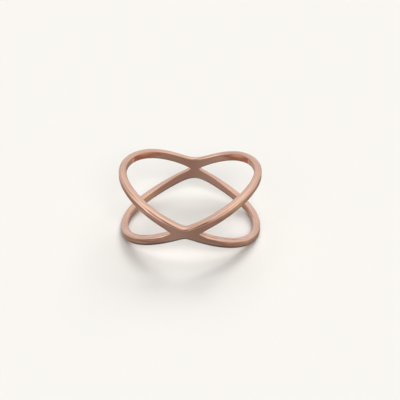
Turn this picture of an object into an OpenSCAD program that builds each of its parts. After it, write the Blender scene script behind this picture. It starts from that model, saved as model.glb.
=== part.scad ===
// Crossover ring
//
// Two slim bands run round the finger in one thin wall. At each side of the finger one band
// lies high and the other low, with an open eye between them. At the front and at the back
// they cross and are soldered flush, so the ring is one piece of metal.
//
// Millimetres. The finger axis is Z, the origin is the middle of the finger hole, the front
// crossing faces -Y, and the ring lies on its lower band as it would on a table.

/* [Finger hole] */
// Inner diameter of the ring
finger_d = 17.3; // [15:0.1:22]

/* [Wall] */
// Thickness of the wall at the front crossing
front_t = 1.25; // [1:0.05:1.8]
// Thickness of the wall at the back crossing
back_t = 0.75; // [0.6:0.05:1.4]
// Rounding of the edges along the two rims, as a share of the wall's thickness
rim_round = 0.37; // [0.1:0.01:0.45]
// Rounding of the edges round the side eyes, as a share of the wall's thickness
eye_round = 0.21; // [0.1:0.01:0.45]

/* [Bands] */
// Width of each band at the front crossing
front_w = 1.2; // [1:0.05:1.8]
// Width of each band at the sides of the finger
side_w = 1.1; // [1:0.05:1.8]
// Width of each band at the back crossing
back_w = 1.3; // [0.8:0.05:1.8]
// Height of a band's middle line over the middle of the ring, at the sides of the finger
rise = 4.25; // [3.4:0.05:5.5]

/* [Crossings] */
// Angle between the two bands where they cross at the front
front_angle = 48; // [36:1:60]
// Angle between the two bands where they cross at the back
back_angle = 61; // [40:1:66]
// Depth of metal that fills the notches over and under the front crossing
front_fill = 0.19; // [0.05:0.01:0.6]
// Depth of metal that fills the notches over and under the back crossing
back_fill = 0.85; // [0.1:0.05:1.4]
// Length of solid metal between the corners of the two eyes, at the front
front_join = 3.4; // [2:0.1:4.5]
// Length of solid metal between the corners of the two eyes, at the back
back_join = 1.2; // [0.8:0.1:3]

/* [Hidden] */

rose_gold = [0.84, 0.62, 0.53];

// Sections round the finger, and facets of each rounded edge
sections = 120;
edge_facets = 3;
// How much closer the sections lie at the crossings than at the sides, from 0 to 1
crowding = 0.6;
// The hole is a true cylinder, cut out of a wall that is this much too thick inside
trim = 0.02;
// An edge is never rounded by more than this share of the band's width, nor by more than
// this share of an eye's half height, so the eyes' corners stay crisp
most_of_width = 0.45;
most_of_eye = 0.5;
// How high up a band the shaping of the eyes' corners is still felt
corner_reach = 2.35;

bore_r = finger_d / 2;
// The outside is a circle too, moved towards the front, where the wall is thicker
outer_r = bore_r + (front_t + back_t) / 2;
outer_shift = (front_t - back_t) / 2;
middle_r = (bore_r + outer_r) / 2;
front_lean = tan(front_angle / 2) * (bore_r + front_t / 2) / rise - 1;
back_lean = tan(back_angle / 2) * (bore_r + back_t / 2) / rise - 1;

// Angles are measured round the finger from the front crossing, so 180 is the back crossing.
// A value that changes evenly from the front to the back
function blend(front, back, a) = (front + back) / 2 + (front - back) / 2 * cos(a);

// Height of the rising band's middle line
function band_z(a) = rise * sin(a) * (1 + blend(front_lean, back_lean, a) * pow(cos(a), 2));

// Width of a band, square to its middle line
function band_w(a) = side_w + (front_w - back_w) / 2 * cos(a)
    + ((front_w + back_w) / 2 - side_w) * pow(cos(a), 2);

// How much longer than its shadow a line is that climbs round the ring as height z does
function slant(z, a) =
    let (
        step = 0.1,
        arc = 2 * step * PI / 180 * middle_r
    )
    norm([1, (z(a + step) - z(a - step)) / arc]);

// Half of a band's height, measured upright
function band_half(a) = band_w(a) / 2 * slant(function(b) band_z(b), a);

// Height of the rim over the middle of the ring, with the notch at each crossing filled
function rim_z(a) = band_half(a) + norm([band_z(a), blend(front_fill, back_fill, a)]);

// How far the shaping of a corner fades by angle a, from 1 in the middle of a crossing
function corner_fade(a) = exp(-pow(band_z(a) / corner_reach, 2));

// Metal added round a crossing so that an eye's corner comes to lie at angle a. It is
// negative where the eyes cut deeper than between two plain bands.
function corner_metal(a) = (abs(band_z(a)) - band_half(a)) / corner_fade(a);

front_metal = corner_metal(front_join / 2 / middle_r * 180 / PI);
back_metal = corner_metal(180 - back_join / 2 / middle_r * 180 / PI);

// Half the height of the open eye, which is negative where the bands cross
function eye_z(a) = abs(band_z(a)) - band_half(a)
    - blend(front_metal, back_metal, a) * corner_fade(a);

// Distance of the outer face from the finger axis
function wall_r(a) = outer_shift * cos(a) + sqrt(pow(outer_r, 2) - pow(outer_shift * sin(a), 2));

// Radius of the edges along the rims
function rim_edge(a) = min(rim_round * (wall_r(a) - bore_r), most_of_width * band_w(a));

// Radius of the edges round the eyes, which runs out at the eyes' corners
function eye_edge(a) = max(0, min(
    eye_round * (wall_r(a) - bore_r),
    most_of_width * band_w(a),
    most_of_eye * eye_z(a)
));

// A quarter turn from a face (0) to an edge (90), and the same turn backwards
onto_edge = [for (k = [0 : edge_facets]) 90 * k / edge_facets];
onto_face = [for (t = onto_edge) 90 - t];

// One section of the upper half of the wall, as points [distance from the axis, height],
// from the eye's edge up the outer face, over the rim and down inside. Where the bands
// cross, the section stands on the middle plane and meets its mirror image there.
function section(a) =
    let (
        rim = rim_edge(a),
        eye = eye_edge(a),
        rim_slant = slant(function(b) rim_z(b), a),
        eye_slant = slant(function(b) eye_z(b), a)
    )
    concat(
        [for (t = onto_face) [
            wall_r(a) - eye * (1 - cos(t)),
            max(0, eye_z(a) + eye_slant * eye * (1 - sin(t)))
        ]],
        [for (t = onto_edge) [
            wall_r(a) - rim * (1 - cos(t)),
            rim_z(a) - rim_slant * rim * (1 - sin(t))
        ]],
        [for (t = onto_face) [
            bore_r - trim + rim * (1 - cos(t)),
            rim_z(a) - rim_slant * rim * (1 - sin(t))
        ]],
        [for (t = onto_edge) [
            bore_r - trim + eye * (1 - cos(t)),
            max(0, eye_z(a) + eye_slant * eye * (1 - sin(t)))
        ]]
    );

// The angle of section i: the sections crowd together at the two crossings
function section_angle(i) =
    let (even = 360 * i / sections)
    even - crowding * sin(2 * even) * 90 / PI;

// The whole wall with its rim, rounded edges and eyes, before the finger hole is cut true
module wall() {
    count = 4 * (edge_facets + 1);
    upper = [
        for (i = [0 : sections - 1])
            let (a = section_angle(i))
            for (p = section(a)) [p.x * sin(a), -p.x * cos(a), p.y]
    ];
    lower = [for (p = upper) [p.x, p.y, -p.z]];
    around = [
        for (i = [0 : sections - 1], j = [0 : count - 1])
            let (
                here = i * count,
                ahead = (i + 1) % sections * count,
                next = (j + 1) % count
            )
            each [[here + j, here + next, ahead + j], [here + next, ahead + next, ahead + j]]
    ];
    // Faces flat on the middle plane are left out, so the halves are one solid, and so are
    // faces that have shrunk to a line where an edge's rounding runs out
    surface = [
        for (f = around)
            let (
                p = [for (k = f) upper[k]],
                is_whole = p[0] != p[1] && p[1] != p[2] && p[2] != p[0]
            )
            if (is_whole && max([for (q = p) q.z]) > 0) f
    ];
    mirrored = [for (f = surface) [for (k = [2, 1, 0]) f[k] + len(upper)]];
    polyhedron(points = concat(upper, lower), faces = concat(surface, mirrored));
}

module crossover_band() {
    color(rose_gold)
        difference() {
            wall();
            cylinder(r = bore_r, h = 4 * rise, center = true, $fn = 240);
        }
}

crossover_band();
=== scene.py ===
"""Looks for a crossover ring in satin rose gold, lying on its side on a pale surface.

Metres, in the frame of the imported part: the finger axis is Z, the origin is the middle of the
finger hole and the front crossing faces -Y.
"""

import math

import bpy
import numpy as np
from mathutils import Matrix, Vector


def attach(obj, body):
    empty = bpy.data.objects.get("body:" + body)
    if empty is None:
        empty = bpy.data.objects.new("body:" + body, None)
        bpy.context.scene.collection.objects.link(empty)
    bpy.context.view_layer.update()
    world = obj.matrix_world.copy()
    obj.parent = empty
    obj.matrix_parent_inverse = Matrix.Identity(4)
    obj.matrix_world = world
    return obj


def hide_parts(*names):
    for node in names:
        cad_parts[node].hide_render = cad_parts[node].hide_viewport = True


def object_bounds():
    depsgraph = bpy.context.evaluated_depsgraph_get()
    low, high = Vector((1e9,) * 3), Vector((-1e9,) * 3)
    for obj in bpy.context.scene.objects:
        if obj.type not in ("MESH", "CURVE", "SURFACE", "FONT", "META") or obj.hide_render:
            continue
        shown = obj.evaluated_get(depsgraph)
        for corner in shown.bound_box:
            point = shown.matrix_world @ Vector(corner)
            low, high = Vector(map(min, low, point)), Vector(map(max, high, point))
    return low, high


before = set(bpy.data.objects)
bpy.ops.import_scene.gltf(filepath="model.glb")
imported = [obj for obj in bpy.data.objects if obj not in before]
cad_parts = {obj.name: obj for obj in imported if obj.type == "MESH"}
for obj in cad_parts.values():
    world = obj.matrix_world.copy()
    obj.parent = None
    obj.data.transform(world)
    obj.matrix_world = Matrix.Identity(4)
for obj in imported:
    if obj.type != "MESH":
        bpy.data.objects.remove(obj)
CAD_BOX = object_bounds()

MM = 0.001

# Camera, from the photograph: the ring's size and place in a picture 400 pixels wide
PICTURE = 400
CAMERA_ELEVATION = 29.0
CAMERA_AZIMUTH = 4.2
CAMERA_DISTANCE = 156.6 * MM
PIXELS_PER_MM = 7.285
AIM_RIGHT = 1.304 * MM
AIM_UP = -0.294 * MM
SENSOR_WIDTH = 36
NEAREST, FARTHEST = 0.005, 10

# The ring's driving sizes, in millimetres and degrees, as in the part's source
FINGER_D = 17.3
FRONT_T, BACK_T = 1.25, 0.75
RIM_ROUND, EYE_ROUND = 0.37, 0.21
FRONT_W, SIDE_W, BACK_W = 1.2, 1.1, 1.3
RISE = 4.25
FRONT_ANGLE, BACK_ANGLE = 48, 61
FRONT_FILL, BACK_FILL = 0.19, 0.85
FRONT_JOIN, BACK_JOIN = 3.4, 1.2
CORNER_REACH = 2.35
MOST_OF_EYE = 0.5

# Fineness of the visible mesh
SECTIONS = 600
EDGE_FACETS = 10
CROWDING = 0.6
# Rows of points on each face, as shares of its height. The outer two keep the shading of the
# rounded edges from spreading over the face.
FACE_ROWS = (0.06, 0.5, 0.94)
# Edges sharper than this, in degrees, aren't shaded smooth
SHARP_ANGLE = 35

# Finish of the metal. This UV map follows the bands: a point's height over its band's middle
# line and its distance from the axis, both in millimetres.
BAND_LINES = "band_lines"
# Lines drawn along the bands: how quickly they change along a band, per metre, and across it,
# per millimetre, their detail and their depth
DRAWN_LINES = {
    "waves": (470, 1.6, 1, 0.11 * MM),
    "broad": (260, 4, 2, 0.035 * MM),
    "fine": (600, 18, 3, 0.004 * MM),
}
# The lines start to show where a band's middle line is this high, and are whole at the second
# height, both in millimetres
SMOOTH_JOINT = (0.2, 1.9)
# Depth of the lines in the finger hole, as a share of their depth outside
INSIDE_DEPTH = 0.06
# Colour in the hollows and on the crests of the broad lines, and where each is reached
HOLLOW_GOLD, CREST_GOLD = (0.86, 0.55, 0.445), (0.93, 0.62, 0.51)
HOLLOW, CREST = 0.36, 0.64
# Roughness over the fine lines, from low noise to high
LOW_NOISE, HIGH_NOISE = 0.3, 0.7
SMOOTHEST, ROUGHEST = 0.06, 0.15

# What the metal mirrors: the studio's light from the floor to the ceiling, as height from -1
# straight down to 1 straight up, and colour. The heights were chosen. The colours are within
# 0.02 of what a scratch program's fit of the reflections to the photograph gave.
STUDIO = [
    (-1.00, (0.05, 0.05, 0.05)),
    (-0.60, (0.22, 0.17, 0.15)),
    (-0.25, (0.43, 0.37, 0.33)),
    (0.05, (0.67, 0.65, 0.61)),
    (0.40, (0.69, 0.67, 0.64)),
    (1.00, (0.90, 0.90, 0.87)),
]
# Soft panels, and dark cards with a colour below zero, that the metal mirrors: name, azimuth,
# elevation, tightness and colour. Most come from scratch programs too: nine rows are rounded
# results of fits to the photograph. The four softbox rows, the narrow card and the upper left
# card are fitted panels that were split and changed. The two warm bounces were chosen.
PANELS = [
    ("left_softbox", -50, 10, 10, (0.45, 0.45, 0.45)),
    ("left_softbox_middle", -50, 5, 60, (0.60, 0.60, 0.60)),
    ("right_softbox", 60, 15, 10, (0.20, 0.20, 0.15)),
    ("right_softbox_middle", 60, 10, 60, (0.30, 0.30, 0.30)),
    ("camera_side_card", 0, 10, 6, (-0.25, -0.30, -0.30)),
    ("narrow_card", -5, 30, 150, (-1.50, -1.50, -1.50)),
    ("upper_left_card", -20, 45, 30, (-0.40, -0.40, -0.45)),
    ("right_bounce", 115, -10, 8, (0.15, 0.15, 0.10)),
    ("front_floor_bounce", 0, -50, 10, (0.10, 0.15, 0.15)),
    ("left_high_card", -90, 55, 40, (-0.25, -0.30, -0.35)),
    ("left_floor_bounce", -20, -45, 40, (0.10, 0.15, 0.15)),
    ("ceiling_panel", 90, 80, 15, (0.20, 0.25, 0.20)),
    ("back_left_bounce", -150, -20, 15, (0.15, 0.15, 0.15)),
    ("back_left_card", -110, 45, 15, (-0.20, -0.20, -0.20)),
    ("back_panel", 175, 5, 40, (0.10, 0.10, 0.15)),
    ("right_warm_bounce", 85, -20, 25, (0.10, 0.10, 0.05)),
    ("left_warm_bounce", -90, -20, 25, (0.10, 0.10, 0.05)),
]
# The metal never mirrors less light than this, because a dark card isn't quite black
CARD_LIGHT = 0.1
# Lamps that light the floor: name, azimuth, elevation, width and share of the floor's light.
# A scratch program's fit of the shadows to the photograph gave them, and they were then rounded
# and varied by hand.
LAMPS = [
    ("behind_low", 170, 35, 30, 0.25),
    ("behind_high", 165, 70, 60, 0.40),
    ("front_right", 15, 35, 25, 0.25),
    ("front_left", -20, 35, 30, 0.10),
]
FLOOR_LIGHT = 1.16
FLOOR_FILL = 0.02
FLOOR_ALBEDO = (0.80, 0.78, 0.744)
FLOOR_ROUGHNESS = 0.9
# Half of the floor's width
FLOOR_REACH = 1


def direction(azimuth, elevation):
    """Unit vector to a place in the studio. Azimuth 0 is in front of the ring, at -Y, and 90 is
    at its right, both in degrees."""
    azimuth, elevation = math.radians(azimuth), math.radians(elevation)
    return Vector((
        math.sin(azimuth) * math.cos(elevation),
        -math.cos(azimuth) * math.cos(elevation),
        math.sin(elevation),
    ))


def add_camera():
    back = direction(CAMERA_AZIMUTH, CAMERA_ELEVATION)
    right = direction(CAMERA_AZIMUTH + 90, 0)
    place = back * CAMERA_DISTANCE
    aim = right * AIM_RIGHT + back.cross(right) * AIM_UP
    data = bpy.data.cameras.new("camera")
    data.sensor_width = SENSOR_WIDTH
    focal_pixels = PIXELS_PER_MM * CAMERA_DISTANCE / MM
    data.lens = SENSOR_WIDTH * focal_pixels / PICTURE
    data.clip_start, data.clip_end = NEAREST, FARTHEST
    camera = bpy.data.objects.new("camera", data)
    camera.location = place
    camera.rotation_mode = "QUATERNION"
    camera.rotation_quaternion = (aim - place).to_track_quat("-Z", "Y")
    bpy.context.scene.collection.objects.link(camera)
    bpy.context.scene.camera = camera


# The ring's form, with the names and formulas of the part's source. Angles are in radians round
# the finger from the front crossing.
BORE_R = FINGER_D / 2
OUTER_R = BORE_R + (FRONT_T + BACK_T) / 2
OUTER_SHIFT = (FRONT_T - BACK_T) / 2
MIDDLE_R = (BORE_R + OUTER_R) / 2
FRONT_LEAN = math.tan(math.radians(FRONT_ANGLE / 2)) * (BORE_R + FRONT_T / 2) / RISE - 1
BACK_LEAN = math.tan(math.radians(BACK_ANGLE / 2)) * (BORE_R + BACK_T / 2) / RISE - 1


def blend(front, back, a):
    """A value that changes evenly from the front to the back."""
    return (front + back) / 2 + (front - back) / 2 * np.cos(a)


def band_z(a):
    """Height of the rising band's middle line."""
    return RISE * np.sin(a) * (1 + blend(FRONT_LEAN, BACK_LEAN, a) * np.cos(a) ** 2)


def band_w(a):
    """Width of a band, square to its middle line."""
    return (SIDE_W + (FRONT_W - BACK_W) / 2 * np.cos(a)
            + ((FRONT_W + BACK_W) / 2 - SIDE_W) * np.cos(a) ** 2)


def slant(height, a, step=0.002):
    """How much longer than its shadow a line is that climbs round the ring as height does."""
    return np.hypot(1, (height(a + step) - height(a - step)) / (2 * step * MIDDLE_R))


def band_half(a):
    """Half of a band's height, measured upright."""
    return band_w(a) / 2 * slant(band_z, a)


def rim_z(a):
    """Height of the rim, with the notch at each crossing filled."""
    return band_half(a) + np.hypot(band_z(a), blend(FRONT_FILL, BACK_FILL, a))


def corner_fade(a):
    """How far the shaping of a corner fades, from 1 in the middle of a crossing."""
    return np.exp(-(band_z(a) / CORNER_REACH) ** 2)


def corner_metal(a):
    """Metal added round a crossing so that an eye's corner comes to lie at angle a."""
    return (np.abs(band_z(a)) - band_half(a)) / corner_fade(a)


FRONT_METAL = corner_metal(FRONT_JOIN / 2 / MIDDLE_R)
BACK_METAL = corner_metal(np.pi - BACK_JOIN / 2 / MIDDLE_R)


def eye_z(a):
    """Half the height of the open eye, negative where the bands cross."""
    return (np.abs(band_z(a)) - band_half(a)
            - blend(FRONT_METAL, BACK_METAL, a) * corner_fade(a))


def wall_r(a):
    """Distance of the outer face from the finger axis."""
    return OUTER_SHIFT * np.cos(a) + np.sqrt(OUTER_R ** 2 - (OUTER_SHIFT * np.sin(a)) ** 2)


def profile_point(a, side, edge, turn):
    """Distance from the axis and height of one point of a section. On the rim or the eye's edge,
    turn goes from the outer or inner face (0) onto the edge (pi / 2), and on a face it is a share
    of the height from the eye's edge to the rim's."""
    if edge == "face":
        low = np.maximum(profile_point(a, side, "eye", 0)[1], 0)
        high = profile_point(a, side, "rim", 0)[1]
        return wall_r(a) if side == "outer" else BORE_R, low + turn * (high - low)
    if edge == "rim":
        radius = RIM_ROUND * (wall_r(a) - BORE_R)
    else:
        radius = np.clip(MOST_OF_EYE * eye_z(a), 0, EYE_ROUND * (wall_r(a) - BORE_R))
    inset = radius * (1 - math.cos(turn))
    drop = radius * (1 - math.sin(turn))
    distance = wall_r(a) - inset if side == "outer" else BORE_R + inset
    if edge == "rim":
        return distance, rim_z(a) - slant(rim_z, a) * drop
    return distance, eye_z(a) + slant(eye_z, a) * drop


def upper_half():
    """The upper half of the wall, as a grid of sections by profile points."""
    turns = [math.pi / 2 * k / EDGE_FACETS for k in range(EDGE_FACETS + 1)]
    outer = ([("outer", "eye", t) for t in reversed(turns)]
             + [("outer", "face", share) for share in FACE_ROWS]
             + [("outer", "rim", t) for t in turns])
    profile = outer + [("inner", edge, t) for _, edge, t in reversed(outer)]
    even = np.linspace(0, 2 * np.pi, SECTIONS, endpoint=False)
    angles = even - CROWDING * np.sin(2 * even) / 2
    columns = []
    for side, edge, turn in profile:
        a = angles.copy()
        _, z = profile_point(a, side, edge, turn)
        flat = z <= 0
        # The last flat point beside each eye moves to where its line meets the middle plane
        for shift in (1, -1):
            z_next = np.roll(z, shift)
            a_next = a + np.angle(np.exp(1j * (np.roll(angles, shift) - a)))
            corner = flat & (z_next > 0)
            a = np.where(corner, a + (a_next - a) * -z / (z_next - z), a)
        distance, z = profile_point(a, side, edge, turn)
        columns.append(np.stack([
            distance * np.sin(a), -distance * np.cos(a), np.where(flat, 0, np.maximum(z, 0))
        ], axis=1))
    return np.stack(columns, axis=1)


def map_band_lines(mesh, points):
    """Adds the UV map that the drawn lines follow."""
    angle = np.arctan2(points[:, 0], -points[:, 1])
    over_middle = np.abs(points[:, 2]) - np.abs(band_z(angle))
    lines = np.stack([over_middle, np.hypot(points[:, 0], points[:, 1])], axis=1)
    layer = mesh.uv_layers.new(name=BAND_LINES)
    corners = np.empty(len(mesh.loops), dtype=np.int32)
    mesh.loops.foreach_get("vertex_index", corners)
    layer.data.foreach_set("uv", lines[corners].ravel())


def ring_mesh():
    """The whole ring as one closed mesh. The lower half mirrors the upper one, and where the
    bands cross, the halves meet on the middle plane."""
    upper = upper_half()
    points = upper.reshape(-1, 3)
    on_plane = points[:, 2] <= 0
    ids = np.arange(len(points)).reshape(upper.shape[:2])
    ahead = np.roll(ids, -1, axis=0)
    quads = np.stack([ids, ahead, np.roll(ahead, -1, axis=1), np.roll(ids, -1, axis=1)], axis=-1)
    quads = quads.reshape(-1, 4)
    quads = quads[~on_plane[quads].all(axis=1)]
    mirror_ids = np.where(on_plane, 0, len(points)) + np.arange(len(points))
    quads = np.concatenate([quads, mirror_ids[quads][:, ::-1]])
    points = np.concatenate([points, points * [1, 1, -1]])
    used, quads = np.unique(quads, return_inverse=True)
    points = points[used]
    mesh = bpy.data.meshes.new("crossover_band_fine")
    mesh.from_pydata((points * MM).tolist(), [], quads.reshape(-1, 4).tolist())
    map_band_lines(mesh, points)
    mesh.validate()
    mesh.shade_smooth()
    mesh.set_sharp_from_angle(angle=math.radians(SHARP_ANGLE))
    return mesh


def add_node(tree, kind, sockets, **settings):
    """Adds a node with these settings, its sockets fed with other sockets or with values."""
    node = tree.nodes.new(kind)
    for name, value in settings.items():
        setattr(node, name, value)
    for key, value in sockets.items():
        if isinstance(value, bpy.types.NodeSocket):
            tree.links.new(value, node.inputs[key])
        else:
            node.inputs[key].default_value = value
    return node


def maths(tree, operation, *values):
    """Output of a Math node fed with sockets or numbers."""
    sockets = dict(enumerate(values))
    return add_node(tree, "ShaderNodeMath", sockets, operation=operation).outputs[0]


def vector_maths(tree, operation, sockets):
    """Outputs of a Vector Math node."""
    return add_node(tree, "ShaderNodeVectorMath", sockets, operation=operation).outputs


def map_range(tree, value, from_min, from_max, to_min, to_max):
    """Output of a Map Range node, which eases in and out between its limits."""
    sockets = {"Value": value, "From Min": from_min, "From Max": from_max,
               "To Min": to_min, "To Max": to_max}
    node = add_node(tree, "ShaderNodeMapRange", sockets, interpolation_type="SMOOTHSTEP")
    return node.outputs["Result"]


def separate(tree, vector):
    """The X, Y and Z of a vector."""
    return add_node(tree, "ShaderNodeSeparateXYZ", {0: vector}).outputs


def streaks(tree, spot, across, scale_along, scale_across, detail):
    """Noise drawn out along the bands: slow along them, quick across their faces."""
    place = add_node(tree, "ShaderNodeCombineXYZ", {
        "X": maths(tree, "MULTIPLY", spot["X"], scale_along),
        "Y": maths(tree, "MULTIPLY", spot["Y"], scale_along),
        "Z": maths(tree, "MULTIPLY", across["X"], scale_across),
    })
    noise = add_node(tree, "ShaderNodeTexNoise", {
        "Vector": place.outputs[0],
        "W": maths(tree, "MULTIPLY", across["Y"], scale_across),
        "Scale": 1,
        "Detail": detail,
    }, noise_dimensions="4D")
    return noise.outputs["Fac"]


def rose_gold():
    """Satin rose gold with fine drawn lines that run along the bands."""
    material = bpy.data.materials.new("rose_gold")
    material.use_nodes = True
    tree = material.node_tree
    shader = tree.nodes["Principled BSDF"]
    shader.inputs["Metallic"].default_value = 1
    place = tree.nodes.new("ShaderNodeTexCoord")
    spot = separate(tree, place.outputs["Object"])
    band_lines = add_node(tree, "ShaderNodeUVMap", {}, uv_map=BAND_LINES)
    across = separate(tree, band_lines.outputs["UV"])
    noise = {
        name: streaks(tree, spot, across, scale_along, scale_across, detail)
        for name, (scale_along, scale_across, detail, _) in DRAWN_LINES.items()
    }

    # The lines fade out where the bands cross, because the joint is dressed smooth. A point's
    # height, less its height over its band's middle line, is the height of that line.
    height = maths(tree, "DIVIDE", maths(tree, "ABSOLUTE", spot["Z"]), MM)
    band_height = maths(tree, "SUBTRACT", height, across["X"])
    apart = map_range(tree, band_height, *SMOOTH_JOINT, 0, 1)

    # Halfway between hollow and crest at the joints, and by the broad lines elsewhere
    shade = add_node(tree, "ShaderNodeMix", {"Factor": apart, "A": 0.5, "B": noise["broad"]})
    colour = add_node(tree, "ShaderNodeValToRGB", {"Fac": shade.outputs["Result"]})
    hollow, crest = colour.color_ramp.elements
    hollow.position, hollow.color = HOLLOW, (*HOLLOW_GOLD, 1)
    crest.position, crest.color = CREST, (*CREST_GOLD, 1)
    tree.links.new(colour.outputs["Color"], shader.inputs["Base Color"])

    roughness = map_range(tree, noise["fine"], LOW_NOISE, HIGH_NOISE, SMOOTHEST, ROUGHEST)
    tree.links.new(roughness, shader.inputs["Roughness"])

    # The lines are deepest outside, and the finger hole's wall is smoother
    rim_top = BORE_R + RIM_ROUND * BACK_T
    outside = map_range(tree, across["Y"], BORE_R, rim_top, INSIDE_DEPTH, 1)
    strength = maths(tree, "MULTIPLY", outside, apart)
    for name, (_, _, _, depth) in DRAWN_LINES.items():
        sockets = {"Strength": strength, "Distance": depth, "Height": noise[name]}
        if name != "waves":
            sockets["Normal"] = normal
        normal = add_node(tree, "ShaderNodeBump", sockets, invert=True).outputs["Normal"]
    tree.links.new(normal, shader.inputs["Normal"])
    return material


def add_ring():
    ring = bpy.data.objects.new("crossover_band_fine", ring_mesh())
    bpy.context.scene.collection.objects.link(ring)
    ring.data.materials.append(rose_gold())
    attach(ring, "root")
    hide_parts("crossover_band")


def add_floor():
    material = bpy.data.materials.new("floor")
    material.use_nodes = True
    shader = material.node_tree.nodes["Principled BSDF"]
    shader.inputs["Base Color"].default_value = (*FLOOR_ALBEDO, 1)
    shader.inputs["Roughness"].default_value = FLOOR_ROUGHNESS
    shader.inputs["Specular IOR Level"].default_value = 0
    mesh = bpy.data.meshes.new("floor")
    corners = [(-1, -1), (1, -1), (1, 1), (-1, 1)]
    mesh.from_pydata([(x * FLOOR_REACH, y * FLOOR_REACH, CAD_BOX[0].z) for x, y in corners],
                     [], [(0, 1, 2, 3)])
    mesh.materials.append(material)
    floor = bpy.data.objects.new("floor", mesh)
    bpy.context.scene.collection.objects.link(floor)
    floor.visible_glossy = False


def add_panel(tree, way, light, name, azimuth, elevation, tightness, colour):
    """Adds a soft round panel to the studio's light. A colour below zero is a dark card."""
    facing = vector_maths(tree, "DOT_PRODUCT", {0: way, 1: direction(azimuth, elevation)})
    edge = maths(tree, "MULTIPLY_ADD", facing["Value"], tightness, -tightness)
    tint = add_node(tree, "ShaderNodeVectorMath", {
        0: colour, "Scale": maths(tree, "EXPONENT", edge),
    }, operation="SCALE", name=name)
    return vector_maths(tree, "ADD", {0: light, 1: tint.outputs[0]})[0]


def add_studio():
    """The world: what the metal mirrors, and a little fill for the floor."""
    world = bpy.data.worlds.new("studio")
    bpy.context.scene.world = world
    world.use_nodes = True
    tree = world.node_tree
    way = tree.nodes.new("ShaderNodeTexCoord").outputs["Generated"]
    height = add_node(tree, "ShaderNodeMapRange", {
        "Value": separate(tree, way)["Z"], "From Min": -1,
    })
    ramp = add_node(tree, "ShaderNodeValToRGB", {"Fac": height.outputs["Result"]})
    stops = ramp.color_ramp.elements
    while len(stops) < len(STUDIO):
        stops.new(0.5)
    for stop, (z, colour) in zip(stops, STUDIO):
        stop.position = (z + 1) / 2
        stop.color = (*colour, 1)
    light = ramp.outputs["Color"]
    for panel in PANELS:
        light = add_panel(tree, way, light, *panel)
    mirrored = vector_maths(tree, "MAXIMUM", {0: light, 1: (CARD_LIGHT,) * 3})[0]
    rays = tree.nodes.new("ShaderNodeLightPath")
    pick = add_node(tree, "ShaderNodeMix", {
        "Factor": rays.outputs["Is Diffuse Ray"],
        "A": mirrored,
        "B": (FLOOR_FILL * FLOOR_LIGHT,) * 3 + (1,),
    }, data_type="RGBA")
    tree.links.new(pick.outputs["Result"], tree.nodes["Background"].inputs["Color"])


def add_lamps():
    """Wide suns that light the floor and don't show in the metal."""
    for name, azimuth, elevation, width, share in LAMPS:
        sun = bpy.data.lights.new(name, "SUN")
        sun.angle = math.radians(width)
        sun.energy = math.pi * FLOOR_LIGHT * share / math.sin(math.radians(elevation))
        lamp = bpy.data.objects.new(name, sun)
        lamp.rotation_mode = "QUATERNION"
        lamp.rotation_quaternion = direction(azimuth, elevation).to_track_quat("Z", "Y")
        lamp.visible_glossy = False
        bpy.context.scene.collection.objects.link(lamp)


add_camera()
add_ring()
add_floor()
add_studio()
add_lamps()
bpy.context.scene.view_settings.view_transform = "Standard"

bpy.context.view_layer.update()
